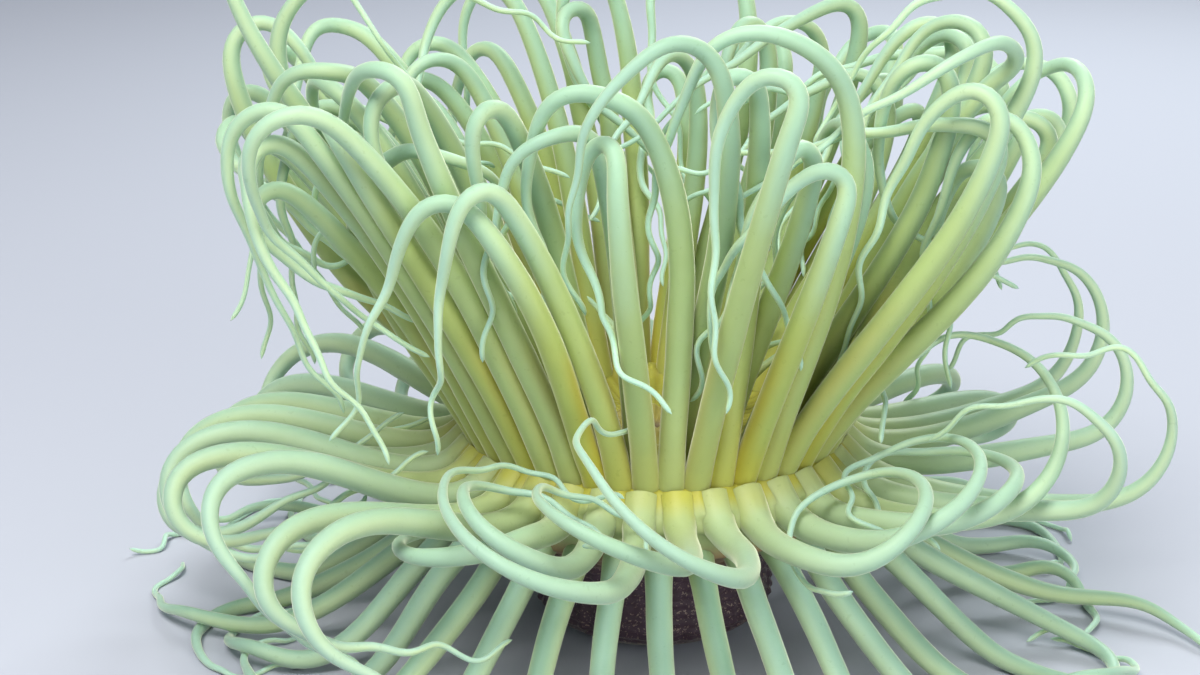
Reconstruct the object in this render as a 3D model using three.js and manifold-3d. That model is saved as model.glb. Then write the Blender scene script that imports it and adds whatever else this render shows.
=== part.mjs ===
// Tube anemone, life size: a contracted column on its rounded foot, an oral disc with a slit mouth
// and a short labial whorl, and four whorls of long marginal tentacles.
// Millimetres, +Z up. The origin is the centre of the foot's flat, on the floor. -Y is the front.
import * as THREE from "three";
import { mergeVertices } from "three/addons/utils/BufferGeometryUtils.js";
import Module from "manifold-3d";

// ---- Driving dimensions -------------------------------------------------------------------------

const CUT = 0.4; // thin cut between neighbouring pieces

// The labial whorl and the four marginal ones, from the mouth outwards: the ring that they grow on
// and its height, the radius at the root and length of a tentacle, the sectors that the whorl is
// divided into, and the band of the disc's margin that carries them, as its two radii and its two
// heights.
const WHORLS = [
  {
    name: "labial",
    count: 12, ring: 14.6, height: 45.6, root: 1.4, length: 28,
    sides: 3, sectors: 4, band: [11.4, 17.8, 43, 45.6],
    colour: "#c8c48a",
  },
  {
    name: "inner",
    count: 24, ring: 32, height: 48.4, root: 2.45, length: 158,
    sides: 4, sectors: 4, band: [29.6, 35.2, 43, 48.4],
    colour: "#a9b873", parted: true, tipColour: "#a8cdb9",
  },
  {
    name: "upright",
    count: 48, ring: 39.6, height: 46.4, root: 2.5, length: 162,
    sides: 4, sectors: 8, band: [35.7, 42.8, 36.8, 46.4],
    colour: "#b3bf6a", parted: true, tipColour: "#b9d8b4",
  },
  {
    name: "spreading",
    count: 35, ring: 45.4, height: 39.4, root: 2.7, length: 136,
    sides: 4, sectors: 7, band: [43.4, 48, 36.8, 42],
    colour: "#c5d79b", parted: true, tipColour: "#bfe0c4",
  },
  {
    name: "drooping",
    count: 32, ring: 42, height: 32.6, root: 2.4, length: 118,
    sides: 3, sectors: 8, band: [38.6, 44.8, 28.4, 36.4], start: 5.6,
    colour: "#9cc3b4",
  },
];
const TIP_RADIUS = 0.5;
const SECTION = 1.12; // radius of the section's corners, as a share of the round tentacle's
const SHARPEST_TURN = 66; // degrees between two lengths of a tentacle's centre line
const LONGEST_STEP = 92; // length of a straight stretch before it is divided
const LYING = 0.72; // height of a lying tentacle's centre line, as a share of its radius
const CLEARANCE = 0.8; // between the skins of two tentacles
const RELAX_PASSES = 300;
const MARGIN = { ring: 41, height: 38, thickness: 11.5 }; // that passing tentacles keep clear of

// The lathe-turned pieces, as profiles of radius and height from the foot upwards. The foot is
// rounded, with a small flat to stand on.
const LATHES = {
  foot: [[0, 0], [17, 0], [23, 2.4], [26.4, 6.2], [27, 9.6], [0, 9.6]],
  column: [[0, 10], [27, 10], [26.6, 16], [28.4, 21], [33, 25.4], [37, 28], [0, 28]],
  collar: [[0, 28.4], [38, 28.4], [38, 36.4], [35.2, 36.4], [35.2, 42.6], [0, 42.6]],
  oral_disc: [[18.8, 43], [29, 43], [29, 47.2], [24, 46], [18.8, 45.2]],
  lips: [[0, 43], [11, 43], [11, 45.4], [8, 47], [4.6, 46], [0, 45]],
};
const MOUTH = { length: 13, width: 1.4, depth: 2.2 };

// ---- Small vector helpers -----------------------------------------------------------------------

const DEG = Math.PI / 180;
const vec = (x, y, z) => new THREE.Vector3(x, y, z);
const DOWN = [0, -90];
const SKYWARD = [0, 90];

// A repeatable number from 0 to 1 for tentacle i and purpose k, and one from low to high.
const chance = (i, k) => {
  const v = Math.sin(i * 12.9898 + k * 78.233) * 43758.5453;
  return v - Math.floor(v);
};
const between = (i, k, low, high) => low + (high - low) * chance(i, k);

// The direction at an azimuth, in degrees from the front towards +X, and an elevation.
const heading = (azimuth, elevation) =>
  vec(
    Math.sin(azimuth * DEG) * Math.cos(elevation * DEG),
    -Math.cos(azimuth * DEG) * Math.cos(elevation * DEG),
    Math.sin(elevation * DEG),
  );

// ---- How each whorl's tentacles grow ------------------------------------------------------------

// A bend is a stretch of a tentacle: its share of the length, its turn in degrees, the direction
// that it turns towards, as [azimuth, elevation], or null to go on turning as before, and how far
// the turning plane itself rolls round the tentacle, in degrees.
const bend = (share, turn, toward = null, roll = 0) => ({ share, turn, toward, roll });

// The standing tentacles fan out, further to the two sides than to the front and back. The way
// that one leans, and how far from the vertical, from its slopes to the side and to the front.
const leanAt = (at) => {
  const side = Math.sin(at * DEG);
  const front = Math.cos(at * DEG);
  const across = Math.tan(33 * DEG) * Math.sign(side) * Math.abs(side) ** 0.8;
  const forward = Math.tan((front > 0 ? 11 : 17) * DEG) * front;
  const slope = Math.hypot(across, forward);
  return { towards: Math.atan2(across, forward) / DEG, angle: Math.atan(slope) / DEG };
};

// The standing tentacles: a straight stem, a tight crook and a thin hanging end.
const standing = (i, at, share) => {
  const crook = between(i, 7, 0.08, 0.19);
  const { towards, angle } = leanAt(at);
  return {
    reach: between(i, 6, 0.8, 1.12),
    facing: towards,
    rise: 90 - share * angle + between(i, 1, -3, 3),
    bends: [
      bend(0.5, between(i, 2, 0, 10), [towards, 0]),
      bend(crook, between(i, 3, 140, 188), [between(i, 4, -150, -40), 0], between(i, 8, -20, 20)),
      bend(0.5 - crook, between(i, 5, -30, 125), null, between(i, 9, -70, 70)),
    ],
  };
};

// The spreading ones: curled in front of the disc, raised in rings on the right, and a fan of
// straight ones with hooked ends on the left and behind.
const curledInFront = (i, at) => ({
  reach: between(i, 8, 0.8, 1),
  taper: 1.7,
  rise: between(i, 1, -8, 6),
  bends: [
    bend(0.16, 8, [at, 0]),
    bend(0.34, between(i, 3, 120, 185), [at < 20 ? -80 : 110, between(i, 2, 4, 30)], between(i, 7, -20, 20)),
    bend(0.5, between(i, 5, 120, 245), null, between(i, 6, -40, 40)),
  ],
});
const raisedInRings = (i) => ({
  reach: between(i, 8, 0.72, 0.9),
  taper: 2.4,
  rise: between(i, 1, -4, 14),
  bends: [
    bend(0.36, between(i, 2, 4, 20), DOWN),
    bend(0.34, between(i, 3, 100, 170), [-90, 70], between(i, 4, -25, 25)),
    bend(0.3, between(i, 5, 60, 125), null, between(i, 6, -40, 40)),
  ],
});
const fannedOut = (i, at) => ({
  reach: between(i, 8, 0.85, 1.05),
  rise: between(i, 1, 8, 26),
  bends: [
    bend(0.42, between(i, 2, 18, 34), Math.abs(at) < 80 ? [-100, -40] : DOWN),
    bend(0.2, between(i, 3, 120, 185), [at + between(i, 4, 20, 120), -50]),
    bend(0.38, between(i, 5, 0, 125), null, between(i, 6, -60, 60)),
  ],
});

const GROWTH = {
  labial: (i, at) => ({
    rise: between(i, 1, 58, 76),
    bends: [
      bend(0.4, between(i, 2, 0, 16), [at, 0]),
      bend(0.6, between(i, 3, 20, 80), [at + between(i, 4, -80, 80), 0]),
    ],
  }),
  inner: (i, at) => standing(i, at, 0.72),
  upright: (i, at) => standing(i, at, 1),
  spreading: (i, at) => {
    if (at > -30 && at < 62) return curledInFront(i, at);
    return at > 0 && at < 115 ? raisedInRings(i) : fannedOut(i, at);
  },
  drooping: (i, at) => {
    const side = chance(i, 7) > 0.35 ? -80 : 80;
    return {
      reach: between(i, 6, 0.86, 1.04),
      rise: between(i, 1, -28, -16),
      bends: [
        bend(0.14, between(i, 2, 36, 46), DOWN),
        bend(0.32, between(i, 3, -44, -18), DOWN),
        bend(0.54, between(i, 4, 125, 250), [at + side + between(i, 5, -25, 25), 0]),
      ],
    };
  },
};

// Tentacles of the upright whorl with a pose of their own, by their place in it.
const LEFT = [-90, 0];
const RIGHT = [90, 0];
const POSED_UPRIGHT = {
  // the arches of the front row: over the middle, right of it, and the two to its left
  0: {
    reach: 1.02, facing: -60, rise: 84,
    bends: [bend(0.47, 4, LEFT), bend(0.16, 172, LEFT), bend(0.37, 10)],
  },
  2: {
    reach: 0.98, facing: 60, rise: 84,
    bends: [bend(0.52, 3, LEFT), bend(0.09, 185, LEFT), bend(0.39, 30)],
  },
  45: {
    reach: 0.84, facing: -60, rise: 67,
    bends: [bend(0.49, 4, LEFT), bend(0.13, 165, LEFT), bend(0.38, -55)],
  },
  46: {
    reach: 0.84, facing: -55, rise: 70,
    bends: [bend(0.5, 4, LEFT), bend(0.12, 175, [-80, 0]), bend(0.38, -45)],
  },
  // the wide ring above the front right
  4: {
    reach: 1.1, facing: 65, rise: 77,
    bends: [bend(0.45, 6, LEFT), bend(0.27, 190, LEFT), bend(0.28, -30)],
  },
  // the long double bend on the right
  9: {
    rise: 80,
    bends: [bend(0.28, 16, RIGHT), bend(0.22, 20, RIGHT), bend(0.3, 185, [-90, 30]), bend(0.2, 20)],
  },
  // the far left loop, then the stem that curls right beside it
  34: {
    reach: 1.16, rise: 47,
    bends: [bend(0.5, 14, SKYWARD), bend(0.12, 185, RIGHT), bend(0.2, -70), bend(0.18, 50, DOWN)],
  },
  35: { reach: 1.05, rise: 54, bends: [bend(0.48, 12, SKYWARD), bend(0.2, 100, RIGHT), bend(0.32, 60)] },
  // the long straight one on the left
  37: {
    reach: 1.1, rise: 67, facing: -88,
    bends: [bend(0.64, 6, LEFT), bend(0.1, 150, RIGHT), bend(0.26, 40)],
  },
  // the arch that comes forward over the left front
  38: {
    reach: 0.85, rise: 64, facing: -80,
    bends: [bend(0.36, 5, LEFT), bend(0.3, 160, [60, 0]), bend(0.34, 120)],
  },
};

// ---- Centre lines -------------------------------------------------------------------------------

// The taper: nearly even along the stem, then down to the thin end, sooner with a lower taper.
const radiusAt = (share, root, taper) =>
  TIP_RADIUS + (root - TIP_RADIUS) * Math.max(0, 1 - share ** taper) ** 3;

// Follows the bends from the root to the tip, landing softly where it meets the floor.
function trace(whorl, at, { facing = at, rise, bends, reach = 1, taper = 3 }) {
  const start = heading(at, 0).multiplyScalar(whorl.ring).add(vec(0, 0, whorl.height));
  const outward = heading(at, 0);
  const points = [start];
  const radii = [whorl.root];
  const direction = heading(facing, rise);
  const whole = reach * whorl.length;
  const axis = vec(0, 0, 0);
  let travelled = 0;
  for (const { share, turn, toward, roll } of bends) {
    const length = share * whole;
    const turns = Math.ceil(Math.abs(turn) / SHARPEST_TURN);
    const steps = Math.max(1, turns, Math.ceil(length / LONGEST_STEP));
    if (toward) axis.crossVectors(direction, heading(...toward)).normalize();
    for (let k = 0; k < steps; k++) {
      const step = length / steps;
      travelled += step;
      const radius = radiusAt(travelled / whole, whorl.root, taper);
      const here = points.at(-1);
      direction.applyAxisAngle(axis, (turn / steps / 2) * DEG);
      const lowest = (LYING * radius - here.z) / step;
      if (direction.z < lowest) {
        const flat = vec(direction.x, direction.y, 0).addScaledVector(outward, 0.3).normalize();
        const z = Math.max(-0.98, lowest);
        direction.copy(flat.multiplyScalar(Math.sqrt(1 - z * z))).setZ(z);
        if (z > -0.3) axis.set(0, 0, Math.sign(axis.z) || 1);
      }
      points.push(here.clone().addScaledVector(direction, step));
      radii.push(radius);
      direction.applyAxisAngle(axis, (turn / steps / 2) * DEG);
      axis.applyAxisAngle(direction, (roll / steps) * DEG);
    }
  }
  return { points, radii };
}

const tentacles = WHORLS.flatMap((whorl, w) =>
  Array.from({ length: whorl.count }, (_, index) => {
    const at = (whorl.start ?? 0) + ((index + 0.5) * 360) / whorl.count;
    const seed = w * 100 + index;
    const sector = Math.floor((index * whorl.sectors) / whorl.count);
    const own = whorl.name === "upright" ? POSED_UPRIGHT[index] : null;
    const pose = own ?? GROWTH[whorl.name](seed, at > 180 ? at - 360 : at);
    return { whorl, sector, reach: pose.reach ?? 1, ...trace(whorl, at, pose) };
  }),
);

// The nearest points of two segments, as shares of their lengths.
function nearest(p, u, q, v) {
  const apart = vec(0, 0, 0).subVectors(p, q);
  const [uu, uv, vv] = [u.dot(u), u.dot(v), v.dot(v)];
  const [ua, va] = [u.dot(apart), v.dot(apart)];
  const clamp = (x) => Math.min(1, Math.max(0, x));
  const flat = uu * vv - uv * uv;
  const first = flat > 1e-9 ? clamp((uv * va - vv * ua) / flat) : 0.5;
  const t = clamp((uv * first + va) / vv);
  const s = clamp((uv * t - ua) / uu);
  return [s, t];
}

// How far a point of a tentacle has to move to clear the disc's margin and the column below it.
function outOfBody(point, radius) {
  const out = Math.hypot(point.x, point.y);
  const over = point.z - MARGIN.height;
  const need = MARGIN.thickness + radius;
  const past = out - MARGIN.ring;
  if (over > 0 && past < 0) return vec(0, 0, Math.max(0, need - over));
  const gap = over > 0 ? Math.hypot(past, over) : past;
  if (gap >= need) return vec(0, 0, 0);
  const outward = (over > 0 ? (past * (need - gap)) / gap : need - gap) / out;
  return vec(point.x * outward, point.y * outward, over > 0 ? (over * (need - gap)) / gap : 0);
}

// The width of a segment at a share of its length, over the corners of its section.
const widthAt = ({ tentacle: { radii }, k }, share) =>
  SECTION * (radii[k] * (1 - share) + radii[k + 1] * share);

// Adds the moves that part two segments to those of their ends. True where they touch.
function part(a, b, moves) {
  if (a.owner === b.owner && b.k - a.k < 3) return false;
  if (a.middle.distanceTo(b.middle) > a.reach + b.reach + CLEARANCE) return false;
  const [s, t] = nearest(a.from, a.along, b.from, b.along);
  if (a.k + b.k === 0 && s + t < 0.1) return false;
  const away = a.from.clone().addScaledVector(a.along, s).sub(b.from).addScaledVector(b.along, -t);
  const gap = away.length();
  const need = widthAt(a, s) + widthAt(b, t) + CLEARANCE;
  if (gap > need - 0.02 || gap < 1e-6) return false;
  const weights = [a.k ? 1 - s : 0, s, b.k ? 1 - t : 0, t];
  const push = (0.7 * (need - gap)) / weights.reduce((sum, x) => sum + x * x, 0) / gap;
  moves[a.owner][a.k].addScaledVector(away, push * weights[0]);
  moves[a.owner][a.k + 1].addScaledVector(away, push * weights[1]);
  moves[b.owner][b.k].addScaledVector(away, -push * weights[2]);
  moves[b.owner][b.k + 1].addScaledVector(away, -push * weights[3]);
  return true;
}

// Moves a tentacle's points, keeping its lengths, out of the body and above the floor.
function shift({ points, radii }, move, lengths) {
  for (let k = 1; k < points.length; k++) {
    if (k > 1) move[k].add(outOfBody(points[k], radii[k]));
    points[k].add(move[k].clampLength(0, 2));
    const step = points[k].clone().sub(points[k - 1]);
    points[k].copy(points[k - 1]).addScaledVector(step, lengths[k - 1] / step.length());
    points[k].z = Math.max(points[k].z, LYING * radii[k]);
  }
}

// Moves the tentacles apart, a little at a time, until no two touch. Gives how many still do.
function relax() {
  const segments = tentacles.flatMap((tentacle, owner) =>
    tentacle.points.slice(1).map((_, k) => ({ tentacle, owner, k })),
  );
  const lengths = tentacles.map((t) => t.points.slice(1).map((p, k) => p.distanceTo(t.points[k])));
  let touching = 0;
  for (let pass = 0; pass < RELAX_PASSES; pass++) {
    touching = 0;
    for (const s of segments) {
      s.from = s.tentacle.points[s.k];
      s.along = vec(0, 0, 0).subVectors(s.tentacle.points[s.k + 1], s.from);
      s.middle = s.from.clone().addScaledVector(s.along, 0.5);
      s.reach = s.along.length() / 2 + s.tentacle.radii[s.k];
    }
    const moves = tentacles.map((t) => t.points.map(() => vec(0, 0, 0)));
    segments.forEach((a, n) => {
      for (let m = n + 1; m < segments.length; m++) if (part(a, segments[m], moves)) touching += 1;
    });
    if (!touching) break;
    tentacles.forEach((tentacle, owner) => shift(tentacle, moves[owner], lengths[owner]));
  }
  return touching;
}
if (relax() > 0) throw new Error("some tentacles still touch");

// The longest tentacle of a sector is parted by a thin cut, halfway along its middle segment.
function parted({ whorl, points, radii }) {
  const k = Math.floor((points.length - 1) / 2);
  const share = CUT / 2 / points[k].distanceTo(points[k + 1]);
  const cut = (side) => points[k].clone().lerp(points[k + 1], 0.5 + side * share);
  const radius = (radii[k] + radii[k + 1]) / 2;
  const base = { points: [...points.slice(0, k + 1), cut(-1)], radii: [...radii.slice(0, k + 1), radius] };
  const tip = { points: [cut(1), ...points.slice(k + 1)], radii: [radius, ...radii.slice(k + 1)] };
  return [{ whorl, ...base }, { whorl, ...tip }];
}

// ---- Solids -------------------------------------------------------------------------------------

const wasm = await Module();
wasm.setup();

// A closed three.js geometry as a manifold solid, and back.
function solid(geometry) {
  const bare = geometry.clone().deleteAttribute("normal").deleteAttribute("uv");
  const merged = mergeVertices(bare, 1e-4);
  return new wasm.Manifold(
    new wasm.Mesh({
      numProp: 3,
      vertProperties: new Float32Array(merged.attributes.position.array),
      triVerts: new Uint32Array(merged.index.array),
    }),
  );
}

function geometryOf(manifold) {
  const { vertProperties, triVerts } = manifold.getMesh();
  const geometry = new THREE.BufferGeometry();
  geometry.setAttribute("position", new THREE.BufferAttribute(vertProperties, 3));
  geometry.setIndex(new THREE.BufferAttribute(triVerts, 1));
  geometry.computeVertexNormals();
  return geometry;
}

const join = (solids) => solids.reduce((all, next) => all.add(next));

// A tentacle's centre line, which bends at its points and halves the turn there.
class CentreLine extends THREE.Curve {
  constructor(points) {
    super();
    this.points = points;
  }
  getUtoTmapping(u) {
    return u;
  }
  getPoint(t) {
    const last = this.points.length - 1;
    const k = Math.min(last - 1, Math.floor(t * last + 1e-9));
    return this.points[k].clone().lerp(this.points[k + 1], t * last - k);
  }
  getTangent(t) {
    const last = this.points.length - 1;
    const k = Math.round(t * last);
    const before = this.points[k].clone().sub(this.points[Math.max(0, k - 1)]).normalize();
    const after = this.points[Math.min(last, k + 1)].clone().sub(this.points[k]).normalize();
    return before.add(after).normalize();
  }
}

// A polygon of unit radius, turned so that one flat side looks along the given angle.
const section = (sides, angle) =>
  new THREE.Shape(
    Array.from({ length: sides }, (_, k) => {
      const corner = angle + ((k + 0.5) * 2 * Math.PI) / sides;
      return new THREE.Vector2(Math.cos(corner), Math.sin(corner));
    }),
  );

// Whether a length of tentacle begins on top of its whorl's band.
const standsOnBand = ({ whorl, points }) =>
  whorl.height === whorl.band[3] && points[0].z === whorl.height;

// A tapering tube: a section of unit radius swept along the line, then each ring of it scaled.
// What stands on top of its band starts level on it and turns its flats to its neighbours there;
// the others end on a flat, and nothing reaches below the floor.
function tube(tentacle) {
  const { whorl, points, radii } = tentacle;
  const steps = points.length - 1;
  const extrudePath = new CentreLine(points);
  const { normals, binormals } = extrudePath.computeFrenetFrames(steps, false);
  const onBand = standsOnBand(tentacle);
  const ring = onBand ? 0 : steps;
  const look = onBand ? vec(-points[0].y, points[0].x, 0) : vec(0, 0, -1);
  const shape = section(whorl.sides, Math.atan2(binormals[ring].dot(look), normals[ring].dot(look)));
  const geometry = new THREE.ExtrudeGeometry(shape, { steps, extrudePath, bevelEnabled: false });
  const position = geometry.attributes.position;
  const rising = extrudePath.getTangent(0);
  const corner = vec(0, 0, 0);
  for (let n = 0; n < position.count; n++) {
    corner.fromBufferAttribute(position, n);
    const k = points.findIndex((point) => point.distanceTo(corner) < 1.001);
    corner.sub(points[k]).multiplyScalar(radii[k] * SECTION);
    if (k === 0 && onBand) corner.addScaledVector(rising, -corner.z / rising.z);
    corner.add(points[k]);
    position.setXYZ(n, corner.x, corner.y, Math.max(0, corner.z));
  }
  return solid(geometry);
}

// A block that is a sector of a ring, from one azimuth to another, with thin cuts at its ends.
function sectorBlock([inner, outer, bottom, top], from, to) {
  const edge = (radius, azimuth, side) => azimuth * DEG + (side * CUT) / 2 / radius - Math.PI / 2;
  const shape = new THREE.Shape();
  shape.absarc(0, 0, outer, edge(outer, from, 1), edge(outer, to, -1), false);
  shape.absarc(0, 0, inner, edge(inner, to, -1), edge(inner, from, 1), true);
  const curveSegments = Math.round((to - from) / 22);
  const options = { depth: top - bottom, bevelEnabled: false, curveSegments };
  return solid(new THREE.ExtrudeGeometry(shape, options).translate(0, 0, bottom));
}

// A turned piece. A profile that leaves the axis is closed on itself.
function lathe(profile, segments) {
  const closed = profile[0][0] > 0 ? [...profile, profile[0]] : profile;
  const points = closed.map(([r, z]) => new THREE.Vector2(r, z));
  return solid(new THREE.LatheGeometry(points, segments).rotateX(Math.PI / 2));
}

const [, lipsTop] = LATHES.lips.at(-1);
const mouth = solid(
  new THREE.BoxGeometry(MOUTH.length, MOUTH.width, MOUTH.depth * 2).translate(0, 0, lipsTop),
);

// ---- The model ----------------------------------------------------------------------------------

const group = new THREE.Group();
group.name = "tube_anemone";

function place(name, manifold, colour, roughness = 0.45) {
  const material = new THREE.MeshStandardMaterial({ color: colour, roughness, metalness: 0 });
  const mesh = new THREE.Mesh(geometryOf(manifold), material);
  mesh.name = name;
  group.add(mesh);
}

place("foot", lathe(LATHES.foot, 18), "#4a3440", 0.6);
place("column", lathe(LATHES.column, 18), "#5a3f4c", 0.6);
place("collar", lathe(LATHES.collar, 18), "#8a6a5e", 0.55);
place("oral_disc", lathe(LATHES.oral_disc, 16), "#c9b06a", 0.5);
place("lips", lathe(LATHES.lips, 12).subtract(mouth), "#b98a5a", 0.5);

for (const whorl of WHORLS) {
  const span = 360 / whorl.sectors;
  for (let sector = 0; sector < whorl.sectors; sector++) {
    const name = whorl.name + "_" + (sector + 1);
    const from = (whorl.start ?? 0) + sector * span;
    const mine = tentacles.filter((t) => t.whorl === whorl && t.sector === sector);
    const longest = mine.reduce((a, b) => (b.reach > a.reach ? b : a));
    const [base, tip] = whorl.parted ? parted(longest) : [longest];
    const tubes = mine.map((t) => tube(t === longest ? base : t));
    place(name, join([sectorBlock(whorl.band, from, from + span), ...tubes]), whorl.colour);
    if (tip) place(name + "_tip", tube(tip), whorl.tipColour);
  }
}

export default group;
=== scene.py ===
import math

import bpy
import numpy as np
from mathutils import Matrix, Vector


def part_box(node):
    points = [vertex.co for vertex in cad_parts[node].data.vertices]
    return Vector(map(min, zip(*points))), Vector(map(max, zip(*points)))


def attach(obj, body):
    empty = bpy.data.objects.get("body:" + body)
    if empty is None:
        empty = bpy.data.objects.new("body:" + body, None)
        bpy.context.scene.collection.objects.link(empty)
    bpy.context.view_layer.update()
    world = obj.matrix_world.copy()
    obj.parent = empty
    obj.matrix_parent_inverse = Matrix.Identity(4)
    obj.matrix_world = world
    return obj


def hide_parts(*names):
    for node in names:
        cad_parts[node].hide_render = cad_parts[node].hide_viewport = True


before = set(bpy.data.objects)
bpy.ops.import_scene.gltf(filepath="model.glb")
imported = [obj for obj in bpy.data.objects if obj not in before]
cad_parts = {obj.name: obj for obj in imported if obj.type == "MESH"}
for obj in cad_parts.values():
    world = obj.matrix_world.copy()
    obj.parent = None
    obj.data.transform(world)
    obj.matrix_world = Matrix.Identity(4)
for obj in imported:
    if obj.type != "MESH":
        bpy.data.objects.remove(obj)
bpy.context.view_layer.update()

# A tube anemone, dressed: one skin for the foot, column and oral disc, and one for each whorl.
#
# Blender works in metres. The tentacles are grown in millimetres, by the same rules as the solids,
# and MM turns them into metres when their meshes are made. Azimuths are in degrees from the front,
# -Y, towards +X.

bl_info = {
    "name": "Tube anemone",
    "version": (1, 0, 0),
    "blender": (4, 5, 0),
    "location": "View3D > Sidebar > Anemone",
    "description": "Builds the skins, finishes and stage of a life-size tube anemone",
    "category": "Object",
}

MM = 0.001

# ---- How the tentacles grow: millimetres and degrees ----------------------------------------------

# The whorls from the mouth outwards: how many tentacles, the ring that they grow on and its height,
# the radius at the root, the length, and where the whorl starts.
WHORLS = {
    "labial": {"count": 12, "ring": 14.6, "height": 45.6, "root": 1.4, "length": 28, "start": 0},
    "inner": {"count": 24, "ring": 32, "height": 48.4, "root": 2.45, "length": 158, "start": 0},
    "upright": {"count": 48, "ring": 39.6, "height": 46.4, "root": 2.5, "length": 162, "start": 0},
    "spreading": {"count": 35, "ring": 45.4, "height": 39.4, "root": 2.7, "length": 136, "start": 0},
    "drooping": {"count": 32, "ring": 42, "height": 32.6, "root": 2.4, "length": 118, "start": 5.6},
}
SEEDS = {name: 100 * place for place, name in enumerate(WHORLS)}
TIP_RADIUS = 0.5
SECTION = 1.12  # the reach of a solid's section, as a share of the tentacle's radius
SHARPEST_TURN = 66  # at one point of a centre line
LONGEST_STEP = 92  # from one point to the next
LYING = 0.72  # height of a centre line that lies on the floor, as a share of its radius
LEAN_ASIDE, LEAN_FORWARD, LEAN_BACK = 33, 11, 17  # of the standing tentacles, at the crown's edges
CLEARANCE = 0.8  # between two solid tentacles
RELAX_PASSES = 300
SLIGHT = 0.02  # overlaps smaller than this are left
MENDED = 0.7  # share of an overlap that one pass takes away
LONGEST_MOVE = 2  # of one point, in one pass
OWN_APART = 3  # steps along one tentacle before it can touch itself
MARGIN_RING, MARGIN_HEIGHT, MARGIN_THICKNESS = 41, 38, 11.5
LEFT, RIGHT, DOWN, SKYWARD = (-90, 0), (90, 0), (0, -90), (0, 90)

# What only the skins have. Where a tentacle's skin starts, from its root: how far in, and how far
# up; how much wider it is there, as a share of the root's radius; and how much its tip curls.
ROOTED = {
    "labial": (0.3, -1.5), "inner": (0.6, -2), "upright": (0.8, -2), "spreading": (5, 4.2),
    "drooping": (2, 1),
}
FLARES = {"labial": 0.3, "inner": 0.15, "upright": 0.05, "spreading": 0.4, "drooping": 0.25}
CURLS = {"labial": 0, "inner": 0.5, "upright": 0.5, "spreading": 1, "drooping": 1}
ROUGH = 0.8  # step along a centre line that is being rounded
FINE = 0.6  # step along a soft centre line
THIN, THICK = 0.6, 2.4  # radii at which a skin has its shortest and its longest steps
FLARED = 3  # reach of a root's flare, in radii
TIP_ROUND = 1.6  # length over which a tip is rounded off
TIP_LEAST = 0.004  # of its section, left at the very end
SOFTENED = 3.2  # reach over which a bend is smoothed
# How the skins are kept apart.
SKIN_GAP = 0.15
ROOTS = 14  # length of the roots, which may touch their neighbours
WANDER = 3  # skins further apart than this never come to touch
SAMPLED = 2  # every so many points of a soft line are compared
COILED = 4  # lengths along one tentacle, in widths, before it can touch itself
SHARED = 5  # points on either side that follow one that is moved
PARTING_PASSES = 60
SETTLED = 1.0  # reach over which the parted lines are smoothed again


def chance(i, k):
    """A repeatable number from 0 to 1 for tentacle i and purpose k."""
    value = math.sin(i * 12.9898 + k * 78.233) * 43758.5453
    return value - math.floor(value)


def between(i, k, low, high):
    return low + (high - low) * chance(i, k)


def heading(azimuth, elevation):
    """The direction at an azimuth and an elevation, in degrees."""
    a, e = math.radians(azimuth), math.radians(elevation)
    return np.array([math.sin(a) * math.cos(e), -math.cos(a) * math.cos(e), math.sin(e)])


def unit(vectors):
    lengths = np.linalg.norm(vectors, axis=-1, keepdims=True)
    return vectors / np.maximum(lengths, 1e-12)


def turned(vector, axis, degrees):
    """The vector turned about a unit axis."""
    c, s = math.cos(math.radians(degrees)), math.sin(math.radians(degrees))
    return vector * c + np.cross(axis, vector) * s + axis * (axis @ vector) * (1 - c)


def bend(share, turn, toward=None, roll=0):
    """A stretch of a tentacle: share of its length, degrees turned, towards where, and roll."""
    return share, turn, toward, roll


def lean_at(at):
    """Which way a standing tentacle leans, and how far from the vertical."""
    side, front = math.sin(math.radians(at)), math.cos(math.radians(at))
    across = math.tan(math.radians(LEAN_ASIDE)) * math.copysign(abs(side) ** 0.8, side)
    forward = math.tan(math.radians(LEAN_FORWARD if front > 0 else LEAN_BACK)) * front
    slope = math.hypot(across, forward)
    return math.degrees(math.atan2(across, forward)), math.degrees(math.atan(slope))


def standing(i, at, share):
    """A straight stem, a tight crook and a thin hanging end."""
    crook = between(i, 7, 0.08, 0.19)
    towards, angle = lean_at(at)
    return {
        "reach": between(i, 6, 0.8, 1.12),
        "facing": towards,
        "rise": 90 - share * angle + between(i, 1, -3, 3),
        "bends": [
            bend(0.5, between(i, 2, 0, 10), (towards, 0)),
            bend(crook, between(i, 3, 140, 188), (between(i, 4, -150, -40), 0), between(i, 8, -20, 20)),
            bend(0.5 - crook, between(i, 5, -30, 125), None, between(i, 9, -70, 70)),
        ],
    }


def curled_in_front(i, at):
    """The spreading ones in front of the disc, curled round."""
    aside = -80 if at < 20 else 110
    return {
        "reach": between(i, 8, 0.8, 1),
        "taper": 1.7,
        "rise": between(i, 1, -8, 6),
        "bends": [
            bend(0.16, 8, (at, 0)),
            bend(0.34, between(i, 3, 120, 185), (aside, between(i, 2, 4, 30)), between(i, 7, -20, 20)),
            bend(0.5, between(i, 5, 120, 245), None, between(i, 6, -40, 40)),
        ],
    }


def raised_in_rings(i):
    """The spreading ones on the right, raised in rings."""
    return {
        "reach": between(i, 8, 0.72, 0.9),
        "taper": 2.4,
        "rise": between(i, 1, -4, 14),
        "bends": [
            bend(0.36, between(i, 2, 4, 20), DOWN),
            bend(0.34, between(i, 3, 100, 170), (-90, 70), between(i, 4, -25, 25)),
            bend(0.3, between(i, 5, 60, 125), None, between(i, 6, -40, 40)),
        ],
    }


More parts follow.
